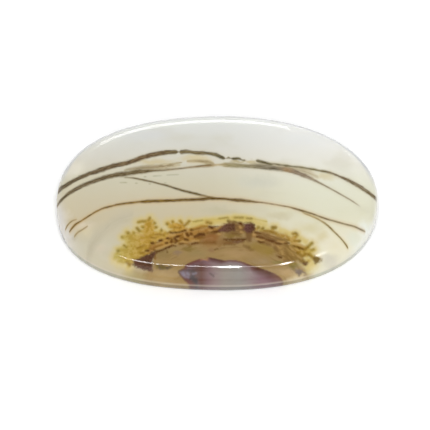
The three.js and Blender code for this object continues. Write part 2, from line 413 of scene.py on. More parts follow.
PALE_STREAKS = (
    ((-11.2, -6.15, 0.06), (-10.5, -6.5, 0.12), (-10.2, -6.75, 0.08)),
    ((-10.6, -7.2, 0.1), (-10.3, -7.3, 0.06)),
    ((-8.4, -8.6, 0.14), (-7.6, -8.3, 0.12), (-6.6, -7.95, 0.12), (-6.2, -7.85, 0.1)),
    ((-9.1, -8.95, 0.08), (-9, -8.85, 0.06)),
    ((-8.4, -7.9, 0.06), (-7.9, -7.75, 0.08)),
    ((-6.6, -6.52, 0.16), (-6.1, -6.53, 0.2), (-5.8, -6.5, 0.14)),
    ((-5.55, -7.1, 0.14), (-5.35, -7.1, 0.1)),
    ((-4.6, -6.35, 0.08), (-4.45, -6.85, 0.12)),
    ((-4.8, -7.55, 0.08), (-4.2, -7.65, 0.08)),
    ((-3.8, -6.8, 0.07), (-3.4, -6.85, 0.07)),
    ((-3.4, -7.45, 0.12), (-2.6, -7.45, 0.1)),
    ((-4.2, -5.8, 0.1),),
    ((-2.2, -5.8, 0.12), (-1.9, -5.75, 0.1)),
    ((-1.15, -5.88, 0.12), (-0.8, -5.88, 0.1)),
    ((0.1, -6.42, 0.12), (0.4, -6.45, 0.1)),
    ((1.75, -5.82, 0.12), (2.05, -5.84, 0.1)),
    ((3.12, -5.3, 0.12), (3.2, -5.5, 0.14)),
    ((3.25, -6.15, 0.14), (3.45, -6.15, 0.12)),
    ((5.05, -6.5, 0.18), (5.2, -6.6, 0.14)),
    ((5.3, -5.5, 0.06), (5.35, -5.85, 0.12)),
    ((5.4, -7.15, 0.1), (6, -7.33, 0.12), (6.4, -7.35, 0.08)),
    ((8.3, -7.45, 0.06), (8.8, -7.56, 0.14), (9.15, -7.6, 0.16)),
    ((8.3, -8.15, 0.06), (8.7, -8.5, 0.12)),
    ((8.9, -9, 0.08), (9, -9.4, 0.08)),
    ((10, -8.3, 0.08), (10.4, -8.7, 0.12), (10.8, -8.95, 0.06)),
    ((10.5, -7.75, 0.14), (11.4, -7.95, 0.14), (12, -8.25, 0.1)),
    ((11.1, -9.6, 0.08), (11.6, -9.9, 0.08)),
    ((10.2, -9.15, 0.06), (10.5, -9.5, 0.06)),
)

# Below the arch lies an ochre window, and in its front a grey and mauve lens with a crystal at its left end.
WINDOW = (
    (-15.5, -14), (-14, -12.3), (-12.5, -11.6), (-11.5, -11.3), (-10, -11.4), (-9, -11), (-9, -9.6),
    (-8.7, -8.7), (-7, -7.9), (-5.8, -7.3), (-4.5, -6.9), (-3.2, -6.4), (-1.8, -6), (-0.5, -5.8), (1, -5.5),
    (3, -5.5), (4.6, -6), (6.5, -6.8), (8, -7.4), (9.5, -8.2), (10.4, -9.2), (11.3, -10.2), (12.6, -10.9),
    (13.3, -12), (14.2, -14),
)
LENS = (
    (-3, -14), (-3.2, -13.4), (-3.9, -13.05), (-4.6, -12.7), (-5.1, -12.3), (-5.45, -11.9), (-5.45, -11.65),
    (-5.1, -11.5), (-4.6, -11.3), (-4.45, -10.95), (-4, -10.65), (-3.4, -10.4), (-2.9, -10.2),
    (-2.4, -10.05), (-1.5, -10.1), (-1.3, -9.85), (-0.9, -9.85), (-0.3, -10), (0.3, -10.15), (1, -10.3),
    (1.6, -10.2), (2.5, -10.25), (3.2, -10.4), (3.9, -10.65), (4.6, -10.9), (5.2, -11.1), (5.8, -11.3),
    (6.5, -11.5), (7.2, -11.7), (7.9, -11.9), (8.6, -12.2), (9.3, -12.6), (9.8, -13.1), (10, -14),
)
LENS_SLATE = (
    ((-5.25, -12.1, 0.08), (-5, -12.5, 0.14), (-4.4, -12.8, 0.18), (-3.6, -12.95, 0.3), (-3, -12.75, 0.3)),
    ((-3.9, -12.7, 0.2), (-3.4, -12.4, 0.28), (-3, -12.9, 0.3)),
    ((-3.6, -11.7, 0.08), (-3.2, -11.85, 0.12)),
    ((-5.5, -11.62, 0.06), (-5, -11.6, 0.06), (-4.4, -11.55, 0.08), (-3.9, -11.6, 0.06)),
    ((-1.05, -12, 0.05), (-0.55, -12.3, 0.08)),
)
LENS_CRYSTAL = (
    ((-4.75, -11.95, 0.12), (-4.55, -12.15, 0.14)),
    ((-4.15, -12, 0.12), (-3.95, -12.1, 0.1)),
    ((-4.35, -12.4, 0.08), (-4, -12.45, 0.08)),
    ((-3.4, -12.05, 0.06), (-2.9, -11.98, 0.05)),
)

# In mm: a start for the nearest distance, and the least square of a length that is divided by
FAR_AWAY = 99.0
SHORTEST = 1e-9


def away_from_line(places, start, end):
    """How far points lie from a straight line between two places, and how far along it, from 0 to 1."""
    reach = np.array([end[0] - start[0], end[1] - start[1]])
    length = max(float(reach @ reach), SHORTEST)
    share = np.clip(((places - start[:2]) @ reach) / length, 0, 1)
    away = np.hypot(places[:, 0] - start[0] - share * reach[0], places[:, 1] - start[1] - share * reach[1])
    return away, share


def inside_outline(places, outline):
    """Which points lie inside a closed outline, found by counting its crossings to their right."""
    inside = np.zeros(len(places), dtype=bool)
    for (x1, y1), (x2, y2) in zip(outline, outline[1:] + outline[:1]):
        if y1 != y2:
            crossing = x1 + (places[:, 1] - y1) * (x2 - x1) / (y2 - y1)
            inside ^= ((y1 > places[:, 1]) != (y2 > places[:, 1])) & (places[:, 0] < crossing)
    return inside


def keep_distance(piece, name, strokes, outlines=()):
    """Store on each point how far it lies outside the strokes and outlines, in mm; inside it is negative."""
    places = np.zeros(len(piece.data.vertices) * 3)
    piece.data.vertices.foreach_get("co", places)
    places = places.reshape(-1, 3)[:, :2] / MM
    nearest = np.full(len(places), FAR_AWAY)
    for stroke in strokes:
        joints = stroke if len(stroke) > 1 else stroke * 2
        for start, end in zip(joints, joints[1:]):
            away, share = away_from_line(places, start, end)
            nearest = np.minimum(nearest, away - (start[2] + share * (end[2] - start[2])))
    for outline in outlines:
        rim = np.full(len(places), FAR_AWAY)
        for start, end in zip(outline, outline[1:] + outline[:1]):
            rim = np.minimum(rim, away_from_line(places, start, end)[0])
        nearest = np.minimum(nearest, np.where(inside_outline(places, outline), -rim, rim))
    layer = piece.data.attributes.new(name, "FLOAT", "POINT")
    layer.data.foreach_set("value", nearest.astype(np.float32))


for name, strokes in (
    ("haze_distance", YELLOW_HAZE),
    ("gold_distance", GOLD_LIMBS),
    ("gold_shade_distance", GOLD_SHADES),
    ("tip_distance", OLIVE_TIPS),
    ("brown_distance", BROWN_ARCH),
    ("brown_shade_distance", BROWN_SHADES),
    ("thread_distance", BROWN_THREADS),
    ("pale_distance", PALE_STREAKS),
    ("slate_distance", LENS_SLATE),
    ("crystal_distance", LENS_CRYSTAL),
):
    keep_distance(stone, name, strokes)
for name, outlines in (
    ("block_distance", (FOOT_BLOCK, CREST_LEFT, CREST_RIGHT)),
    ("twig_distance", (TWIG_BLOCK,)),
    ("window_distance", (WINDOW,)),
    ("lens_distance", (LENS,)),
):
    keep_distance(stone, name, (), outlines)

# The finish of the stone. All places are in mm on the plan, read from the object's own coordinates, so the
# layers run through the stone from front to back, as they do in a slab that was sawn across them.
PLAN_LEFT = -23
PLAN_SPAN = 46
PLAN_LOW = -14
PLAN_HEIGHT = 28
# How much brighter than their own colours the lamps show the stone's, and the light that its gloss adds
LAMP_LEVEL = (1.078, 1.062, 1.045)
GLOSS_VEIL = 0.008
DARKEST = 0.003
# A picture stores light on this curve, as numbers up to its white
PICTURE_WHITE = 255
CURVE_OFFSET = 0.055
CURVE_POWER = 2.4
# A colour mix takes its mask on the first of these inputs and its two colours on the others
MIX_INPUTS = (0, 6, 7)
MIX_OUTPUT = 2

polished_agate = bpy.data.materials.new("polished_agate")
polished_agate.use_nodes = True
agate = polished_agate.node_tree
shader = agate.nodes["Principled BSDF"]


def seen(red, green, blue):
    """A colour as it looks on the lit stone, 0 to 255, as the share of light that the stone gives back."""
    shares = [c / PICTURE_WHITE for c in (red, green, blue)]
    linear = [((share + CURVE_OFFSET) / (1 + CURVE_OFFSET)) ** CURVE_POWER for share in shares]
    return [max((c - GLOSS_VEIL) / level, DARKEST) for c, level in zip(linear, LAMP_LEVEL)] + [1]


def feed(socket, value):
    """Wire another node's output to a socket, or give it a constant. Three numbers are a colour as seen."""
    if isinstance(value, bpy.types.NodeSocket):
        socket.id_data.links.new(value, socket)
    elif socket.type == "RGBA" and len(value) == 3:
        socket.default_value = seen(*value)
    else:
        socket.default_value = value


def calculate(operation, *values, clamp=False, tree=agate):
    """Arithmetic on numbers that change over the stone."""
    node = tree.nodes.new("ShaderNodeMath")
    node.operation = operation
    node.use_clamp = clamp
    for socket, value in zip(node.inputs, values):
        feed(socket, value)
    return node.outputs[0]


def calculate_place(operation, *values, tree=agate):
    """Arithmetic on places, which have an x, a y and a z. The length of a place is a number."""
    node = tree.nodes.new("ShaderNodeVectorMath")
    node.operation = operation
    for socket, value in zip(node.inputs, values):
        feed(socket, value)
    return node.outputs["Value" if operation == "LENGTH" else "Vector"]


def vary(place, per_mm, detail, seed, stretch=(1, 1, 1)):
    """Noise from 0 to 1; per_mm says how many lumps fit in a millimetre."""
    spread = agate.nodes.new("ShaderNodeMapping")
    spread.inputs["Scale"].default_value = stretch
    spread.inputs["Location"].default_value = (seed, -seed, seed / 2)
    feed(spread.inputs["Vector"], place)
    noise = agate.nodes.new("ShaderNodeTexNoise")
    noise.inputs["Scale"].default_value = per_mm
    noise.inputs["Detail"].default_value = detail
    feed(noise.inputs["Vector"], spread.outputs[0])
    return noise.outputs["Fac"]


def stage_in(value, low, high, out_low=0, out_high=1, tree=agate):
    """Smooth step of a value from low to high."""
    node = tree.nodes.new("ShaderNodeMapRange")
    node.interpolation_type = "SMOOTHSTEP"
    for name, given in (("From Min", low), ("From Max", high), ("To Min", out_low), ("To Max", out_high)):
        feed(node.inputs[name], given)
    feed(node.inputs["Value"], value)
    return node.outputs["Result"]


def lay_over(mask, below, above, blend="MIX"):
    """Lay one colour over another where the mask is 1."""
    node = agate.nodes.new("ShaderNodeMix")
    node.data_type = "RGBA"
    node.blend_type = blend
    for index, value in zip(MIX_INPUTS, (mask, below, above)):
        feed(node.inputs[index], value)
    return node.outputs[MIX_OUTPUT]


def overlap(mask, *others):
    """The part that masks share: 1 where all of them are 1, and 0 where any of them is 0."""
    for other in others:
        mask = calculate("MULTIPLY", mask, other)
    return mask


own_place = agate.nodes.new("ShaderNodeTexCoord").outputs["Object"]
place = calculate_place("MULTIPLY", own_place, (1 / MM, 1 / MM, 1 / MM))
axes = agate.nodes.new("ShaderNodeSeparateXYZ")
feed(axes.inputs[0], place)
across_x, across_y, height = axes.outputs
along = calculate("MULTIPLY_ADD", across_x, 1 / PLAN_SPAN, -PLAN_LEFT / PLAN_SPAN)
up_the_plan = calculate("MULTIPLY_ADD", across_y, 1 / PLAN_HEIGHT, -PLAN_LOW / PLAN_HEIGHT)


def drawn_curve(points, low, span):
    """A height in mm, read off a smooth curve through the points given (mm along, mm up)."""
    node = agate.nodes.new("ShaderNodeFloatCurve")
    curve = node.mapping.curves[0]
    spots = [((x - PLAN_LEFT) / PLAN_SPAN, (y - low) / span) for x, y in points]
    for spot in spots[2:]:
        curve.points.new(*spot)
    for point, spot in zip(curve.points, sorted(spots)):
        point.location = spot
        point.handle_type = "AUTO_CLAMPED"
    node.mapping.update()
    feed(node.inputs["Value"], along)
    return calculate("MULTIPLY_ADD", node.outputs[0], span, low)


def colours_over(share, low, span, stops):
    """Colours that change evenly between places: stops are (mm, colour), from the lowest to the highest."""
    ramp = agate.nodes.new("ShaderNodeValToRGB")
    spots = ramp.color_ramp.elements
    for spot_mm, shade in stops[2:]:
        spots.new((spot_mm - low) / span)
    for spot, (spot_mm, shade) in zip(spots, stops):
        spot.position = (spot_mm - low) / span
        spot.color = seen(*shade)
    feed(ramp.inputs[0], share)
    return ramp.outputs[0]


def colours_along(stops):
    """Colours that change from the left end of the stone to the right."""
    return colours_over(along, PLAN_LEFT, PLAN_SPAN, stops)


def colours_up(stops):
    """Colours that change from the front edge of the stone to the back."""
    return colours_over(up_the_plan, PLAN_LOW, PLAN_HEIGHT, stops)


def new_group(name, inputs, outputs):
    """An empty node group with named sockets, and the sockets of its own input and output nodes."""
    group = bpy.data.node_groups.new(name, "ShaderNodeTree")
    for side, sockets in (("INPUT", inputs), ("OUTPUT", outputs)):
        for socket, kind in sockets:
            group.interface.new_socket(socket, in_out=side, socket_type=kind)
    return group, group.nodes.new("NodeGroupInput").outputs, group.nodes.new("NodeGroupOutput").inputs


PLACE = "NodeSocketVector"
NUMBER = "NodeSocketFloat"
cloud_patch, cloud_in, cloud_out = new_group(
    "cloud_patch",
    (("Place", PLACE), ("Middle", PLACE), ("Reach", PLACE), ("Softness", NUMBER)),
    (("Cloud", NUMBER),),
)
away = calculate_place("SUBTRACT", cloud_in["Place"], cloud_in["Middle"], tree=cloud_patch)
share = calculate_place("DIVIDE", away, cloud_in["Reach"], tree=cloud_patch)
how_far = calculate_place("LENGTH", share, tree=cloud_patch)
inner_edge = calculate("SUBTRACT", 1, cloud_in["Softness"], tree=cloud_patch)
feed(cloud_out["Cloud"], stage_in(how_far, 1, inner_edge, tree=cloud_patch))

# The clouds are pulled out of shape by slow noise, by up to half of this reach in mm either way
WARP_REACH = 1.6
WARP_PER_MM = 0.7
WARP_DETAIL = 3
warp_noise = agate.nodes.new("ShaderNodeTexNoise")
warp_noise.inputs["Scale"].default_value = WARP_PER_MM
warp_noise.inputs["Detail"].default_value = WARP_DETAIL
feed(warp_noise.inputs["Vector"], place)
pull_in = (-WARP_REACH / 2, -WARP_REACH / 2, 0)
warp = calculate_place("MULTIPLY_ADD", warp_noise.outputs["Color"], (WARP_REACH, WARP_REACH, 0), pull_in)
warped_place = calculate_place("MULTIPLY_ADD", place, (1, 1, 0), warp)


def add_clouds(below, clouds):
    """Lay soft irregular clouds over the colour below: middle and reach in mm, softness, colour as seen."""
    for middle, reach, softness, shade in clouds:
        patch = agate.nodes.new("ShaderNodeGroup")
        patch.node_tree = cloud_patch
        feed(patch.inputs["Place"], warped_place)
        patch.inputs["Middle"].default_value = (*middle, 0)
        patch.inputs["Reach"].default_value = (*reach, 1)
        patch.inputs["Softness"].default_value = softness
        below = lay_over(patch.outputs["Cloud"], below, shade)
    return below


# Ground: milky chalcedony, cool white at the back edge, warmer and darker to the front, paler to the right,
# with soft clouds of its own; one pale cloud at the front of the thin right end is painted light that shines
# through the edge. In each cloud come its middle and reach in mm, its softness and its colour.
left_ground = colours_up((
    (-13, (193, 179, 142)), (-10.5, (200, 190, 165)), (-8, (204, 197, 175)), (-4, (202, 190, 162)),
    (-1, (204, 194, 168)), (2, (206, 200, 178)), (5, (211, 206, 192)), (8, (213, 211, 202)),
    (12, (218, 218, 213)),
))
right_ground = colours_up((
    (-11, (224, 219, 195)), (-7, (228, 222, 200)), (-3, (221, 218, 195)), (1, (223, 221, 202)),
    (5, (228, 225, 214)), (8, (228, 226, 220)), (12, (230, 229, 225)),
))
GROUND_CLOUDS = (
    ((-18.2, -5.8), (1.7, 1.4), 0.9, (211, 200, 171)),
    ((-16.1, -8.4), (1.5, 1.2), 0.9, (209, 198, 176)),
    ((-19.8, -6.3), (0.7, 0.6), 0.9, (184, 175, 148)),
    ((-13.2, -4.2), (2.2, 0.9), 0.9, (197, 187, 160)),
    ((-18.4, -4.9), (2, 0.9), 0.9, (213, 201, 178)),
    ((-21, -3), (1.2, 1.2), 0.9, (212, 202, 180)),
    ((0.5, -3), (4, 0.8), 0.9, (197, 189, 162)),
    ((8.5, -3.6), (3, 0.9), 0.9, (207, 199, 170)),
    ((12.8, -5.4), (2.6, 1.4), 0.9, (215, 207, 174)),
    ((14.6, -6.6), (1.6, 1.2), 0.9, (217, 207, 172)),
    ((16.2, -8), (2.4, 1.8), 0.9, (227, 220, 196)),
    ((19, -6.8), (1.8, 1.6), 0.9, (224, 223, 206)),
    ((5.5, 1.6), (4.5, 1.6), 0.9, (207, 204, 187)),
    ((-10, 9.4), (6, 1.8), 0.9, (212, 211, 206)),
    ((12.5, 8.8), (5, 1.8), 0.9, (226, 225, 220)),
    # painted light: this pale cloud stands for light shining through the thin right end
    ((20.8, -5.4), (1.7, 2.2), 0.9, (232, 233, 224)),
    ((-20, 4), (2.6, 2), 0.9, (220, 214, 198)),
    ((-9, 4.8), (4.6, 0.9), 0.9, (205, 193, 160)),
    ((-3, 5.3), (3.4, 0.8), 0.9, (209, 196, 162)),
    ((12, 3.5), (2.8, 0.7), 0.9, (204, 190, 156)),
    ((4.6, 4.75), (1.5, 0.6), 0.9, (196, 182, 142)),
    ((2.6, 4.75), (1.7, 0.45), 0.9, (178, 164, 128)),
    ((15, 2.6), (2.6, 1), 0.9, (214, 205, 174)),
    ((15.6, -9.8), (2, 1.2), 0.9, (212, 206, 188)),
)
ground = lay_over(stage_in(across_x, -4, 16), left_ground, right_ground)
broad_clouds = vary(place, 0.16, 3, 4, (1, 1.6, 1))
ground = lay_over(stage_in(broad_clouds, 0.5, 0.75, 0, 0.3), ground, (200, 194, 172))
ground = add_clouds(ground, GROUND_CLOUDS)

# Stain lines: iron and manganese that crept along the stone's layers. The table of each gives x, y and width
# in mm at points given along it. The points were read off enlarged views, and those of the two bands
# and of the slanting, long and falling threads were then corrected to places measured in the photo.
STAIN_LINES = {
    "upper_band": (
        (-22.3, 1.12, 0.8), (-22.15, 1.18, 0.9), (-21.6, 1.36, 0.84), (-21, 1.56, 0.72), (-20, 2.08, 0.66),
        (-19, 2.6, 0.62), (-18, 3.02, 0.64), (-17, 3.4, 0.7), (-16, 3.72, 0.74), (-15, 4.08, 0.76),
        (-14, 4.34, 0.74), (-13, 4.57, 0.74), (-12, 4.88, 0.74), (-11, 5.3, 0.7), (-10, 5.64, 0.72),
        (-9, 5.93, 0.76), (-8, 6.15, 0.78), (-7, 6.28, 0.76), (-6, 6.32, 0.68), (-5.6, 6.33, 0.56),
        (-5.45, 6.35, 0), (-5.35, 6.35, 0), (-5.15, 6.3, 0.64), (-4.5, 6.38, 0.64), (-4, 6.33, 0.6),
        (-3, 6.17, 0.62), (-2, 6.13, 0.6), (-1.3, 6.07, 0.48), (-0.8, 5.98, 0.52), (-0.4, 5.85, 0.6),
        (0, 5.72, 0.68), (0.5, 5.5, 0.6), (1, 5.28, 0.45), (1.2, 5.2, 0), (1.4, 5.38, 0.2),
        (1.6, 5.36, 0.32), (1.8, 5.3, 0.1), (2.1, 5.22, 0.36), (2.8, 5.22, 0.42), (3.3, 5.12, 0.36),
        (3.5, 4.97, 0.2), (3.8, 4.95, 0.24), (4, 4.95, 0), (5.35, 4.92, 0), (5.6, 4.87, 0.46),
        (6, 4.78, 0.46), (7, 4.5, 0.4), (7.6, 4.36, 0.32), (8, 4.4, 0.18), (8.5, 4.3, 0.3), (9, 4.25, 0.16),
        (9.8, 4.12, 0.32), (10.4, 4.05, 0.2), (11.2, 4, 0.3), (12, 3.88, 0.26), (13, 3.7, 0.3),
        (13.6, 3.62, 0.32), (14.2, 3.48, 0.28), (15, 3.35, 0.38), (16, 3.08, 0.32), (17, 2.64, 0.34),
        (17.5, 2.42, 0.42), (18, 2.18, 0.5), (19, 1.64, 0.56), (20, 0.99, 0.58), (20.5, 0.67, 0.6),
        (21, 0.38, 0.58), (21.5, 0.12, 0.58), (22, -0.1, 0.66), (22.5, -0.28, 0.8),
    ),
    "lower_band": (
        (-22.15, -0.9, 0.45), (-21.95, -0.74, 0.5), (-21.7, -0.56, 0.46), (-21.3, -0.26, 0.48),
        (-21, -0.03, 0.54), (-20, 0.52, 0.6), (-19, 1.12, 0.62), (-18, 1.56, 0.58), (-17, 1.98, 0.66),
        (-16, 2.3, 0.72), (-15, 2.58, 0.74), (-14, 2.78, 0.76), (-13, 2.9, 0.78), (-12, 3.07, 0.72),
        (-11, 3.21, 0.72), (-10, 3.27, 0.58), (-9, 3.35, 0.42), (-8, 3.38, 0.32), (-7, 3.44, 0.28),
        (-6, 3.56, 0.25), (-5, 3.66, 0.22), (-4, 3.8, 0.24), (-3, 3.92, 0.3), (-2, 4.04, 0.38),
        (-1.2, 4.1, 0.44), (-0.6, 4.15, 0.32), (0, 4.2, 0.28), (0.8, 4.22, 0.55), (1.2, 4.18, 0.68),
        (2, 4.15, 0.72), (3, 4.08, 0.62), (4.2, 4.02, 0.6), (5, 4, 0.72), (6, 3.95, 0.82), (7, 3.88, 0.88),
        (8, 3.75, 0.8), (9, 3.65, 0.76), (10, 3.5, 0.84), (11, 3.13, 0.76), (12, 2.7, 0.66),
        (13, 2.24, 0.52), (14, 1.67, 0.28), (15, 1.1, 0.2), (16, 0.51, 0.17), (17, -0.09, 0.16),
        (18, -0.7, 0.13), (19, -1.34, 0.1), (20, -2.1, 0),
    ),
    "lower_band_haze": (
        (-13.2, 3.4, 0), (-12.4, 3.58, 0.3), (-11, 3.72, 0.55), (-10, 3.78, 0.72), (-9, 3.82, 0.75),
        (-8, 3.92, 0.75), (-7, 4.02, 0.65), (-6, 4.1, 0.4), (-5, 4.2, 0),
    ),
    "right_haze": (
        (4.4, 4.4, 0), (5.5, 4.38, 0.5), (7, 4.25, 0.6), (8.5, 4.1, 0.55), (10, 3.85, 0.5),
        (11.5, 3.5, 0.6), (12.6, 3.1, 0.5), (13.4, 2.75, 0.3), (14.2, 2.4, 0),
    ),
    "short_streak": (
        (-7.3, 4.2, 0), (-6.8, 4.26, 0.25), (-6, 4.42, 0.32), (-5.4, 4.55, 0.22), (-4.8, 4.64, 0),
    ),
    "hooked_streak": (
        (-4.4, 4.8, 0), (-3.6, 4.85, 0.28), (-2.6, 4.82, 0.36), (-1.8, 4.7, 0.46), (-1.2, 4.55, 0.6),
        (-0.7, 4.38, 0.5), (-0.35, 4.25, 0),
    ),
    "slanting_thread": (
        (-13.2, 2.32, 0), (-12.8, 2.32, 0.12), (-12, 2.27, 0.2), (-11, 2.05, 0.26), (-10, 1.81, 0.26),
        (-9, 1.55, 0.24), (-8, 1.23, 0.27), (-7, 0.95, 0.29), (-6, 0.56, 0.3), (-5, 0.22, 0.34),
        (-4, -0.07, 0.36), (-3, -0.35, 0.37), (-2, -0.64, 0.35), (-1, -0.9, 0.28), (0, -1.1, 0.2),
        (0.6, -1.15, 0),
    ),
    "long_thread": (
        (-20.6, -5.55, 0), (-20.4, -5.4, 0.25), (-20, -4.97, 0.33), (-19.5, -4.6, 0.28), (-19, -4.3, 0.24),
        (-18, -3.6, 0.24), (-17, -2.97, 0.24), (-16, -2.45, 0.25), (-15, -2.15, 0.27), (-14, -1.9, 0.28),
        (-13, -1.73, 0.3), (-12, -1.62, 0.31), (-11, -1.52, 0.32), (-10, -1.46, 0.46), (-8, -1.4, 0.48),
        (-6, -1.35, 0.44), (-4, -1.28, 0.46), (-3, -1.24, 0.44), (-2, -1.18, 0.5), (-1, -1.07, 0.5),
        (0, -1.11, 0.4), (1, -1.15, 0.36), (2, -1.29, 0.4), (3, -1.35, 0.52), (4, -1.45, 0.45),
        (5, -1.56, 0.3), (6, -1.67, 0.2), (7, -1.8, 0.15), (8, -1.96, 0.15), (9, -2.15, 0.16),
        (10, -2.33, 0.16), (11, -2.63, 0.28), (12, -2.92, 0.3), (13, -3.23, 0.2), (14, -3.62, 0.2),
        (15, -3.98, 0.22), (16, -4.26, 0.22), (17, -4.54, 0.2), (18, -4.83, 0.2), (19, -5.05, 0.22),
        (20, -5.31, 0.22), (20.6, -5.4, 0),
    ),
    "falling_thread": (
        (11.6, -3, 0), (12.2, -3.3, 0.15), (13, -3.6, 0.2), (14, -4.1, 0.2), (14.5, -4.42, 0.22),
        (15, -4.78, 0.25), (15.5, -5.22, 0.26), (16, -5.74, 0.24), (16.5, -6.26, 0.2), (17, -6.79, 0.2),
        (17.5, -7.33, 0.2), (17.9, -7.8, 0.26), (18.15, -8.05, 0),
    ),
    "outer_left_thread": (
        (-21.2, -5.15, 0), (-21.05, -4.95, 0.18), (-20.7, -4.5, 0.18), (-20.2, -4.15, 0.16),
        (-19.7, -4, 0.12), (-19.4, -3.95, 0),
    ),
    "inner_left_thread": (
        (-19.9, -6.4, 0), (-19.75, -6.25, 0.18), (-19.4, -5.9, 0.18), (-18.8, -5.6, 0.14),
        (-18.2, -5.2, 0.12), (-17.9, -5, 0),
    ),
    "arc_over_plume": (
        (-3.6, -4.65, 0), (-3.2, -4.6, 0.18), (-2, -4.45, 0.2), (-1, -4.32, 0.12), (0, -4.22, 0.14),
        (1.1, -4.05, 0.2), (1.55, -4, 0.18), (1.7, -4, 0), (2.1, -3.95, 0.2), (3, -3.93, 0.3),
        (3.9, -3.95, 0.25), (4.2, -4.05, 0.08), (4.6, -4.13, 0.22), (5.1, -4.18, 0.12), (5.6, -4.3, 0.07),
        (6.7, -4.55, 0.1), (7, -4.6, 0),
    ),
    "grey_streak": (
        (-18.2, -9.8, 0), (-17.9, -9.2, 1), (-17.6, -8.4, 1.1), (-16.9, -7.2, 1.1), (-16, -6.1, 1.1),
        (-14.9, -5, 1.1), (-13.8, -4.3, 1), (-12.6, -3.7, 0.8), (-11.6, -3.3, 0),
    ),
    "upper_dashes": (
        (-10.3, 2.4, 0), (-10.05, 2.4, 0.16), (-9.8, 2.4, 0), (-9.2, 2.45, 0), (-8.8, 2.48, 0.12),
        (-7.9, 2.52, 0.12), (-7.6, 2.53, 0), (-7.3, 2.6, 0), (-6.9, 2.62, 0.12), (-5.6, 2.67, 0.1),
        (-5.2, 2.7, 0),
    ),
    "lower_dashes": (
        (-13.7, 1.55, 0), (-13.3, 1.57, 0.14), (-12.7, 1.53, 0.12), (-12.4, 1.5, 0), (-11.6, 1.42, 0),
        (-11.3, 1.4, 0.14), (-11, 1.38, 0), (-9.7, 1.27, 0), (-9.4, 1.25, 0.14), (-9.1, 1.27, 0),
        (-7.6, 1.4, 0), (-7.3, 1.4, 0.14), (-7, 1.4, 0),
    ),
}

# One stain line: a band of stain along a curve, ragged by its grain, with a glow in the clear stone round it
RAGGEDNESS = 0.45
LINE_SOFTNESS = 0.27
GLOW_REACH = 0.7
FADE_PER_MM = 20
stain_line, line_in, line_out = new_group(
    "stain_line",
    [(name, NUMBER) for name in ("Offset", "Half Width", "Grain", "Raggedness", "Softness", "Glow Reach")],
    (("Stain", NUMBER), ("Glow", NUMBER)),
)


def in_line(operation, *values, clamp=False):
    """Arithmetic inside the group of the stain line."""
    return calculate(operation, *values, clamp=clamp, tree=stain_line)


pull = in_line("MULTIPLY", line_in["Grain"], line_in["Raggedness"])
ragged_half = in_line("MULTIPLY_ADD", line_in["Half Width"], pull, line_in["Half Width"])
inside = in_line("SUBTRACT", ragged_half, in_line("ABSOLUTE", line_in["Offset"]))
there = in_line("MULTIPLY", line_in["Half Width"], FADE_PER_MM, clamp=True)
stain = in_line("ADD", in_line("DIVIDE", inside, line_in["Softness"]), 0.5, clamp=True)
feed(line_out["Stain"], in_line("MULTIPLY", stain, there))
glow = in_line("ADD", in_line("DIVIDE", inside, line_in["Glow Reach"]), 1, clamp=True)
feed(line_out["Glow"], in_line("MULTIPLY", in_line("POWER", glow, 2), there))

grain = calculate("MULTIPLY_ADD", vary(place, 1.6, 3, 1, (0.7, 1.6, 1)), 2, -1)


def follow(distance, x_per_mm, y_per_mm, seed):
    """Noise in long streaks that follow a curve; the distance says how far the spot lies from it in mm."""
    joined = agate.nodes.new("ShaderNodeCombineXYZ")
    feed(joined.inputs[0], across_x)
    feed(joined.inputs[1], distance)
    return vary(joined.outputs[0], 1, 3, seed, (x_per_mm, y_per_mm, 1))


def add_stain_line(below, name, stain_colour, deep_colour, glow_colour, glow_strength, softness):
    """Lay one stain line over the colour below: first its glow in the clear stone, then the stain itself."""
    points = STAIN_LINES[name]
    middle = drawn_curve([(x, y) for x, y, width in points], PLAN_LOW, PLAN_HEIGHT)
    halves = []
    for index, (x, y, width) in enumerate(points):
        before = points[max(index - 1, 0)]
        after = points[min(index + 1, len(points) - 1)]
        slope = (after[1] - before[1]) / (after[0] - before[0])
        halves.append((x, width / 2 * math.hypot(1, slope)))
    offset = calculate("SUBTRACT", across_y, middle)
    line = agate.nodes.new("ShaderNodeGroup")
    line.node_tree = stain_line
    line.name = name
    for socket, value in (
        ("Offset", offset),
        ("Half Width", drawn_curve(halves, 0, 1)),
        ("Grain", grain),
        ("Raggedness", RAGGEDNESS),
        ("Softness", softness),
        ("Glow Reach", GLOW_REACH),
    ):
        feed(line.inputs[socket], value)
    glowing = calculate("MULTIPLY", line.outputs["Glow"], glow_strength)
    colour = lay_over(glowing, below, glow_colour)
    streaks = stage_in(follow(offset, 1.1, 5, len(points)), 0.38, 0.62)
    return lay_over(line.outputs["Stain"], colour, lay_over(streaks, deep_colour, stain_colour))


# The thin left end is painted a lighter grey where the crown falls away: painted light that shines through
# the thin edge. The lines lie over that
to_left = stage_in(across_x, -15, -20)
to_front = overlap(stage_in(across_y, 1, -3), stage_in(across_y, -9, -5))
left_rim_painted_glow = overlap(stage_in(height, 3.6, 2.6), to_left, to_front)
colour = lay_over(left_rim_painted_glow, ground, (219, 213, 205))

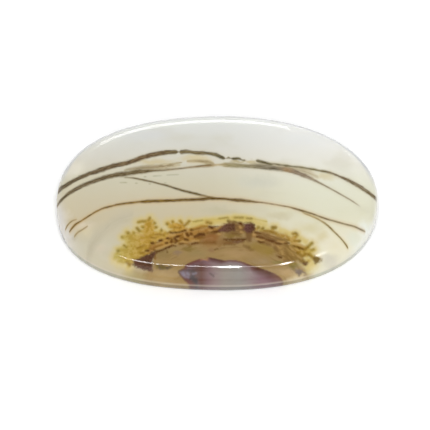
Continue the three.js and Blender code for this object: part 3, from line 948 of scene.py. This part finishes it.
# Along the three longest lines and the haze the colour changes from the left end to the right
long_stain = colours_along((
    (-20.3, (165, 130, 76)), (-19, (152, 122, 60)), (-13, (140, 112, 56)), (-7, (140, 114, 60)),
    (-4, (128, 106, 66)), (1, (122, 100, 64)), (5, (140, 120, 84)), (8, (165, 146, 110)),
    (11, (132, 114, 76)), (14, (146, 132, 96)), (20, (142, 132, 104)),
))
lower_haze = colours_along((
    (-12.5, (124, 108, 78)), (-10.5, (134, 118, 86)), (-9, (156, 138, 106)), (-8, (180, 164, 130)),
    (-6, (198, 184, 152)),
))
lower_stain = colours_along((
    (-20, (128, 112, 86)), (-12, (130, 114, 84)), (-6, (145, 126, 94)), (-1, (156, 134, 98)),
    (0, (198, 180, 142)), (1.5, (166, 154, 116)), (4, (160, 150, 118)), (6, (142, 132, 108)),
    (8, (130, 120, 100)), (9, (152, 136, 110)), (9.6, (168, 142, 106)), (11, (152, 136, 114)),
    (13, (166, 152, 130)), (14.5, (152, 136, 108)),
))
lower_deep = colours_along((
    (-20, (98, 84, 62)), (-12, (100, 86, 60)), (-6, (108, 90, 62)), (-1, (128, 106, 72)),
    (0, (185, 166, 128)), (1.5, (148, 136, 98)), (4, (138, 128, 98)), (6, (118, 108, 86)),
    (8, (104, 94, 76)), (9, (132, 116, 92)), (9.6, (154, 126, 90)), (11, (134, 118, 98)),
    (13, (148, 132, 110)), (14.5, (120, 102, 74)),
))
upper_stain = colours_along((
    (-20, (122, 106, 80)), (-10, (134, 112, 82)), (-6, (130, 114, 82)), (-3, (138, 122, 90)),
    (2, (126, 116, 86)), (8, (128, 118, 88)), (14, (142, 132, 98)), (16, (150, 136, 110)),
    (18, (154, 140, 114)), (20.5, (150, 136, 110)), (22, (134, 118, 86)),
))
upper_deep = colours_along((
    (-20, (92, 80, 60)), (-10, (98, 80, 58)), (-5, (100, 86, 62)), (-3.5, (116, 102, 74)),
    (-1, (106, 94, 68)), (0.3, (84, 78, 56)), (3, (90, 82, 60)), (8, (90, 82, 56)), (14, (110, 102, 66)),
    (16, (112, 98, 76)), (18, (120, 104, 80)), (20.5, (116, 102, 78)), (22, (104, 88, 60)),
))

PALE_GLOW = (208, 198, 168)
FAINT_DASH = ((180, 176, 150), (165, 160, 132), PALE_GLOW)
SMALL_THREAD = ((160, 138, 95), (128, 106, 66), (205, 185, 145))
for name, stain_colour, deep_colour, glow_colour, glow_strength, softness in (
    ("grey_streak", (196, 187, 164), (192, 183, 160), PALE_GLOW, 0, 1.6),
    ("upper_dashes", *FAINT_DASH, 0, LINE_SOFTNESS),
    ("lower_dashes", *FAINT_DASH, 0, LINE_SOFTNESS),
    ("arc_over_plume", (170, 154, 80), (145, 128, 55), (205, 190, 115), 0.8, LINE_SOFTNESS),
    ("outer_left_thread", *SMALL_THREAD, 0.5, LINE_SOFTNESS),
    ("inner_left_thread", *SMALL_THREAD, 0.5, LINE_SOFTNESS),
    ("falling_thread", (165, 146, 98), (132, 112, 66), (218, 204, 158), 0.5, LINE_SOFTNESS),
    ("slanting_thread", (126, 110, 78), (96, 82, 52), PALE_GLOW, 0.3, LINE_SOFTNESS),
    ("long_thread", long_stain, (98, 76, 40), (208, 180, 132), 0.5, LINE_SOFTNESS),
    ("short_streak", (172, 157, 120), (150, 132, 92), PALE_GLOW, 0.4, LINE_SOFTNESS),
    ("hooked_streak", (172, 156, 118), (150, 132, 94), (206, 190, 152), 0.8, 0.4),
    ("lower_band_haze", lower_haze, (150, 134, 100), PALE_GLOW, 0.4, 0.5),
    ("right_haze", (190, 178, 150), (172, 158, 130), PALE_GLOW, 0.5, 0.55),
    ("lower_band", lower_stain, lower_deep, PALE_GLOW, 0.4, 0.3),
    ("upper_band", upper_stain, upper_deep, PALE_GLOW, 0.4, LINE_SOFTNESS),
):
    colour = add_stain_line(colour, name, stain_colour, deep_colour, glow_colour, glow_strength, softness)

# Under the arch lies a window of ochre chalcedony, stained by iron, with olive, orange and tan clouds and
# streaks that run along the arch. One dark grey-brown cloud just under the highlight line is painted shade.
# In each cloud come middle and reach in mm, softness and colour.
ARCH_LINE = (
    (-17.5, -13.9), (-15, -12.4), (-13, -11.4), (-11, -10.7), (-9.6, -9.6), (-8.8, -8.4), (-7, -7.6),
    (-5.8, -7), (-4.5, -6.6), (-3.2, -6.2), (-1.8, -5.9), (-0.5, -5.7), (1, -5.4), (3, -5.3), (4.6, -5.8),
    (6.5, -6.6), (8, -7.2), (9.3, -7.9), (10.5, -9), (11.5, -10.2), (12.6, -11.4), (14, -12.6),
    (15.5, -13.9),
)
UNDER_ARCH_CLOUDS = (
    ((-7.5, -9.3), (1.4, 1), 0.8, (150, 126, 80)),
    ((-6.3, -8.8), (1.5, 0.5), 0.8, (158, 134, 84)),
    ((-4, -8.6), (1.4, 0.6), 0.8, (138, 114, 60)),
    ((-5.4, -9.3), (0.9, 0.6), 0.9, (148, 124, 96)),
    ((-3, -9.2), (2, 0.8), 0.9, (156, 134, 88)),
    ((-0.9, -7), (2.3, 1.9), 0.9, (148, 104, 56)),
    ((-2.6, -7.2), (1, 0.6), 0.9, (140, 105, 50)),
    ((-0.9, -8.7), (0.7, 0.7), 0.9, (152, 120, 82)),
    ((2.2, -6.5), (1.8, 0.5), 0.8, (138, 112, 58)),
    ((1.8, -7.7), (2.4, 0.6), 0.8, (138, 102, 56)),
    ((5.8, -8.3), (3.2, 1.2), 0.9, (152, 125, 66)),
    ((7, -9), (2, 0.9), 0.9, (154, 128, 66)),
    ((4.6, -8.7), (1, 0.5), 0.9, (138, 110, 60)),
    ((2.9, -7.7), (1.1, 0.45), 0.9, (132, 102, 80)),
    ((10.5, -10.95), (1.1, 0.5), 0.9, (142, 124, 66)),
    ((2.8, -9.3), (3.6, 0.9), 0.9, (172, 143, 98)),
    ((5.6, -10.3), (2.4, 0.6), 0.9, (160, 136, 98)),
    ((8.2, -10.4), (1.2, 0.5), 0.9, (150, 134, 84)),
    ((9.7, -10.1), (0.7, 0.3), 0.9, (138, 114, 92)),
    # painted shade: the dark lower edge of the shoulder's reflection, just under the highlight line
    ((-7.4, -11.2), (1.9, 0.5), 0.8, (108, 92, 68)),
    ((-7.4, -12.3), (2.4, 1), 0.8, (172, 146, 98)),
    ((-11.5, -12), (2.6, 1), 0.9, (174, 158, 112)),
    ((9.6, -11.7), (1.8, 0.7), 0.9, (180, 152, 106)),
    ((10.3, -12.6), (1.3, 0.6), 0.9, (194, 170, 126)),
    ((11.4, -12.2), (1.9, 0.9), 0.9, (210, 193, 154)),
    ((12.9, -11), (1.4, 0.9), 0.9, (198, 186, 134)),
    ((11.6, -10.8), (0.9, 0.4), 0.9, (150, 132, 74)),
    ((11.3, -11.5), (1.4, 0.32), 0.8, (134, 118, 104)),
)

lumps = calculate("SUBTRACT", vary(place, 1.8, 3, 7), 0.5)
fine_lumps = calculate("SUBTRACT", vary(place, 4, 3, 9), 0.5)
arch_height = drawn_curve(ARCH_LINE, PLAN_LOW, PLAN_HEIGHT)
streaks = follow(calculate("SUBTRACT", arch_height, across_y), 0.5, 2.2, 3)


def stored(name, unevenness, noise):
    """A distance in mm that the points of the mesh keep, made uneven by noise."""
    layer = agate.nodes.new("ShaderNodeAttribute")
    layer.attribute_name = name
    return calculate("MULTIPLY_ADD", noise, unevenness, layer.outputs["Fac"])


def add_stain(below, edge, softness, shade, strength=1):
    """Lay a stain over the colour below, inside the line where the distance is nought."""
    return lay_over(stage_in(edge, softness, -softness, 0, strength), below, shade)


def add_stored_stain(below, name, unevenness, softness, shade, strength=1):
    """Lay a stain over the colour below, by a distance that the points keep, with fine lumps at its edge."""
    return add_stain(below, stored(name, unevenness, fine_lumps), softness, shade, strength)


window = add_clouds((162, 135, 88), UNDER_ARCH_CLOUDS)
window = lay_over(stage_in(streaks, 0.52, 0.78, 0, 0.35), window, (118, 88, 48))
window = lay_over(stage_in(streaks, 0.48, 0.22, 0, 0.25), window, (184, 156, 108))
window_edge = stored("window_distance", 0.3, lumps)
from_middle = calculate("ABSOLUTE", calculate("SUBTRACT", across_x, 0.5))
window_softness = stage_in(from_middle, 8, 11.5, 0.25, 0.8)
window_inside = calculate("MULTIPLY", window_softness, -1)
window_mask = stage_in(window_edge, window_softness, window_inside)
colour = lay_over(window_mask, colour, window)

# The lens: grey in its middle, mauve to the right and slate round the crystal, with a dark rim that has one
# break. The rim is widest to the right, where the outline falls to the front.
lens_edge = stored("lens_distance", 0.15, fine_lumps)
lens = colours_along((
    (-5.5, (120, 110, 108)), (-3.4, (108, 88, 84)), (-2.2, (110, 78, 68)), (-1.2, (136, 108, 106)),
    (-0.3, (148, 128, 124)), (1, (151, 141, 130)), (3, (149, 143, 134)), (4.6, (147, 129, 126)),
    (6, (142, 112, 116)), (7.5, (136, 104, 106)), (9, (124, 92, 84)),
))
lens = lay_over(stage_in(lens_edge, -1.1, -0.3, 0, 0.5), lens, (136, 104, 112))
lens = lay_over(stage_in(follow(lens_edge, 0.4, 2.5, 5), 0.5, 0.8, 0, 0.3), lens, (112, 88, 92))
lens = add_stored_stain(lens, "slate_distance", 0.25, 0.25, (86, 76, 74))
lens = add_stored_stain(lens, "crystal_distance", 0.15, 0.2, (138, 130, 142), 0.9)
rim_colour = colours_along((
    (-5.5, (120, 100, 78)), (-4.6, (116, 84, 68)), (-4.2, (116, 76, 66)), (-2.5, (120, 78, 70)),
    (-2.2, (150, 104, 80)), (-1.9, (176, 132, 98)), (-1.4, (160, 116, 90)), (-1, (98, 64, 56)),
    (0.6, (104, 72, 66)), (1.3, (130, 98, 92)), (3, (128, 94, 86)), (4.5, (116, 80, 68)),
    (5.5, (94, 58, 42)), (7.2, (94, 58, 40)), (8, (120, 84, 68)), (9.3, (128, 94, 72)),
))
rim_width = drawn_curve((
    (-23, 0.3), (23, 0.3), (-4.6, 0.3), (-4.2, 0.6), (-2.4, 0.6), (-1.9, 0.25), (-1.4, 0.5), (0, 0.9),
    (1, 0.5), (3, 0.4), (4.5, 0.7), (5.5, 1.3), (7.2, 1.2), (8.5, 0.6), (10, 0.4),
), 0, 1)
rim_inside = calculate("MULTIPLY", rim_width, -1)
lens = lay_over(stage_in(lens_edge, rim_inside, -0.1), lens, rim_colour)
colour = lay_over(stage_in(lens_edge, 0.12, -0.12), colour, lens)

# The plume: yellow haze, gold limbs with olive tips, the brown arch with its threads, and the dark blocks,
# laid one over the other in that order.
gold_edge = calculate("SUBTRACT", stored("gold_distance", 0.4, lumps), 0.1)
brown_edge = stored("brown_distance", 0.6, lumps)
yellow_edge = stored("haze_distance", 0.4, lumps)
haze_edge = calculate("MINIMUM", gold_edge, calculate("ADD", brown_edge, 0.3))
haze_edge = calculate("MINIMUM", haze_edge, yellow_edge)
HAZE_REACH = 1.35
HAZE_STRENGTH = 0.68
near_plume = stage_in(haze_edge, HAZE_REACH, 0)
outside_window = stage_in(window_edge, -0.9, 0.1)
haze = overlap(near_plume, near_plume, HAZE_STRENGTH, outside_window)
colour = lay_over(haze, colour, (210, 190, 123))
colour = add_stain(colour, yellow_edge, 0.45, (202, 180, 102), 0.75)
gold_light = colours_along((
    (-14, (198, 182, 112)), (-12, (194, 168, 92)), (-9.5, (194, 160, 82)), (-7, (194, 162, 82)),
    (-5.5, (198, 160, 78)), (-2, (196, 160, 86)), (3, (202, 180, 102)), (6, (186, 158, 84)),
    (9, (190, 160, 100)), (11, (190, 157, 82)), (13.2, (194, 170, 92)),
))
gold_deep = colours_along((
    (-14, (184, 166, 90)), (-12, (178, 150, 70)), (-9.5, (176, 140, 56)), (-7, (176, 142, 58)),
    (-5.5, (180, 138, 54)), (-2, (178, 138, 62)), (3, (184, 162, 80)), (6, (160, 130, 58)),
    (9, (168, 134, 70)), (11, (166, 130, 54)), (13.2, (176, 150, 68)),
))
gold = lay_over(stage_in(lumps, -0.12, 0.12), gold_light, gold_deep)
gold = lay_over(stage_in(fine_lumps, 0.05, 0.25, 0, 0.4), gold, (160, 130, 50))
gold = lay_over(stage_in(gold_edge, -0.45, 0.15, 0, 0.5), gold, (192, 170, 96))
colour = add_stain(colour, gold_edge, 0.26, gold)
colour = add_stored_stain(colour, "gold_shade_distance", 0.2, 0.24, (136, 102, 32), 0.8)
colour = add_stored_stain(colour, "tip_distance", 0.25, 0.26, (130, 111, 50), 0.85)
arch_tan = colours_along((
    (-9.5, (166, 124, 64)), (-7, (188, 148, 76)), (-4, (174, 132, 66)), (-1, (164, 122, 62)),
    (2, (160, 126, 74)), (5, (160, 125, 74)), (8, (158, 126, 76)), (10, (160, 130, 74)),
    (12, (170, 142, 84)),
))
arch_deep = colours_along((
    (-9.5, (132, 92, 42)), (-7, (136, 96, 34)), (-4, (130, 88, 36)), (-1, (128, 88, 40)),
    (2, (116, 84, 48)), (5, (122, 88, 50)), (8, (128, 96, 54)), (10, (136, 106, 56)), (12, (132, 104, 48)),
))
brown = lay_over(stage_in(streaks, 0.45, 0.65, 0, 0.8), arch_tan, arch_deep)
brown = lay_over(stage_in(fine_lumps, 0.04, 0.2, 0, 0.6), brown, arch_deep)
colour = add_stain(colour, brown_edge, 0.35, brown)
colour = add_stored_stain(colour, "brown_shade_distance", 0.4, 0.28, arch_deep, 0.85)
colour = add_stored_stain(colour, "pale_distance", 0.2, 0.2, (188, 152, 90), 0.8)
colour = add_stored_stain(colour, "thread_distance", 0.25, 0.19, (96, 61, 12))
block_light = colours_along((
    (-11.5, (108, 76, 54)), (-9.5, (102, 70, 50)), (0.3, (118, 82, 68)), (2.2, (110, 80, 52)),
    (4.2, (110, 76, 66)), (5.1, (104, 72, 46)),
))
block_deep = colours_along((
    (-11.5, (92, 60, 42)), (-9.5, (84, 56, 38)), (0.3, (100, 66, 52)), (2.2, (92, 62, 38)),
    (4.2, (94, 62, 54)), (5.1, (86, 56, 32)),
))
block_colour = lay_over(stage_in(fine_lumps, -0.12, 0.15), block_light, block_deep)
block_edge = calculate("MULTIPLY_ADD", lumps, 0.3, stored("block_distance", 0.4, fine_lumps))
colour = add_stain(colour, block_edge, 0.22, block_colour)
colour = add_stored_stain(colour, "twig_distance", 0.25, 0.2, (126, 102, 46))

# The edge: a paler rim at the thin right end, painted light that shines through it; a grey rim along the
# back, painted shade; a thin pale line at the top of the wall, a painted reflection of the white table; and
# the upright wall under it painted darker, as painted shade.
# The surface has the polish of a hand-held wheel, with a slow waviness and patches that are less bright.
# Painted shade that darkens the upright wall, and the strength of the thin pale line above it, a painted
# reflection
WALL_PAINTED_SHADE = (0.72, 0.75, 0.74, 1)
WALL_PAINTED_REFLECTION_STRENGTH = 0.3
for rim, shade in (
    # painted light: the thin right end paler, as if lit through the edge
    (overlap(stage_in(height, 2.9, 2.1), stage_in(across_x, 17, 21)), (232, 230, 220)),
    # painted shade: a grey rim along the back edge, where the shadowed table is reflected
    (overlap(stage_in(height, 3.3, 2.7), stage_in(across_y, 1, 5)), (190, 190, 189)),
    # painted reflection: a thin pale line at the top of the wall, where the white table is reflected
    (overlap(stage_in(height, 2.1, 1.6), stage_in(height, 1.3, 1.5), WALL_PAINTED_REFLECTION_STRENGTH), (216, 206, 186)),
):
    colour = lay_over(rim, colour, shade)
# painted shade: the upright wall below the pale line is multiplied darker
colour = lay_over(stage_in(height, 1.5, 1.2), colour, WALL_PAINTED_SHADE, "MULTIPLY")
feed(shader.inputs["Base Color"], colour)

BRIGHT_POLISH = 0.04
DULL_POLISH = 0.075
WAVE_HEIGHT = 0.003 * MM
CHALCEDONY_IOR = 1.54
MILKY_DEPTH = 2 * MM
polish = stage_in(vary(place, 0.8, 4, 11), 0.3, 0.8, BRIGHT_POLISH, DULL_POLISH)
feed(shader.inputs["Roughness"], polish)
waviness = agate.nodes.new("ShaderNodeBump")
waviness.inputs["Strength"].default_value = 1
waviness.inputs["Distance"].default_value = WAVE_HEIGHT
feed(waviness.inputs["Height"], vary(place, 0.25, 1, 13))
feed(shader.inputs["Normal"], waviness.outputs[0])
shader.inputs["IOR"].default_value = CHALCEDONY_IOR
shader.inputs["Specular IOR Level"].default_value = 0.25
shader.inputs["Subsurface Weight"].default_value = 1
shader.inputs["Subsurface Radius"].default_value = (1, 1, 0.9)
shader.inputs["Subsurface Scale"].default_value = MILKY_DEPTH
stone.data.materials.append(polished_agate)
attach(stone, "root")
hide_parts("agate_cabochon")

# The table top is a plain white sheet, matt, and so wide that its edges stay out of the picture. The stone
# lies on it and isn't fixed to it.
TABLE_SIZE = 6
TABLE_WHITE = (0.96, 0.96, 0.96, 1)
bpy.ops.object.select_all(action="DESELECT")
bpy.ops.mesh.primitive_plane_add(size=TABLE_SIZE)
floor = bpy.context.object
floor.name = "white_table"
white_table = bpy.data.materials.new("white_table")
white_table.use_nodes = True
paint = white_table.node_tree.nodes["Principled BSDF"]
paint.inputs["Base Color"].default_value = TABLE_WHITE
paint.inputs["Roughness"].default_value = 0.8
paint.inputs["Specular IOR Level"].default_value = 0.2
floor.data.materials.append(white_table)

# The lights are plain studio lamps: a bright room, strips and small lamps on the ceiling, which draw the thin
# line and its bright spots along the front shoulder, a lit window low behind the stone, which draws the white
# band on the far shoulder, and a wide soft lamp in front.
ROOM_BRIGHTNESS = 0.42
CEILING_HEIGHT = 600 * MM
world = bpy.data.worlds.new("room")
bpy.context.scene.world = world
world.use_nodes = True
world.node_tree.nodes["Background"].inputs["Color"].default_value = (1, 1, 1, 1)
world.node_tree.nodes["Background"].inputs["Strength"].default_value = ROOM_BRIGHTNESS


def add_lamp(name, place, turn, size, brightness, shape="RECTANGLE"):
    """A flat lamp; brightness is in watts per square metre of the rectangle that its face fills."""
    bpy.ops.object.light_add(type="AREA", location=place, rotation=turn)
    lamp = bpy.context.object
    lamp.name = name
    lamp.data.shape = shape
    lamp.data.size, lamp.data.size_y = size
    lamp.data.energy = brightness * size[0] * size[1]


def add_side_lamp(name, bearing, elevation, distance, size, brightness):
    """A lamp that faces the stone from the side. Bearing 0 is behind the stone and 90 is to its right."""
    bearing = math.radians(bearing)
    elevation = math.radians(elevation)
    place = (
        distance * math.cos(elevation) * math.sin(bearing),
        distance * math.cos(elevation) * math.cos(bearing),
        distance * math.sin(elevation),
    )
    add_lamp(name, place, (elevation - math.pi / 2, 0, -bearing), size, brightness)


# Ceiling lamps face down. Each has its place from the stone, its two sides and its turn, in mm and degrees.
for name, x, y, sides, turn, brightness, shape in (
    ("ceiling_strip_left", -121, -103, (84, 34), -14, 120, "RECTANGLE"),
    ("ceiling_strip_middle", -44, -82, (106, 24), 38, 84, "RECTANGLE"),
    ("ceiling_strip_right", 44, -116, (54, 16), -57, 50, "RECTANGLE"),
    ("ceiling_strip_far_right", 80, -150, (50, 24), -20, 24, "RECTANGLE"),
    ("ceiling_lamp_middle", 10, -80, (28, 120), 0, 140, "ELLIPSE"),
    ("ceiling_lamp_right", 105, -146, (30, 66), 0, 190, "ELLIPSE"),
    ("ceiling_lamp_far_right", 229, -147, (40, 60), 0, 150, "ELLIPSE"),
    ("ceiling_lamp_corner", 460, -228, (64, 48), 0, 30, "RECTANGLE"),
):
    sides = (sides[0] * MM, sides[1] * MM)
    add_lamp(name, (x * MM, y * MM, CEILING_HEIGHT), (0, 0, math.radians(turn)), sides, brightness, shape)
add_side_lamp("back_window", -5.5, 17.5, 1.2, (0.62, 0.41), 24)
add_side_lamp("side_strip", 35, 9, 1.2, (0.36, 0.05), 30)
add_side_lamp("front_softbox", 180, 40, 1.5, (2, 1.2), 4.2)
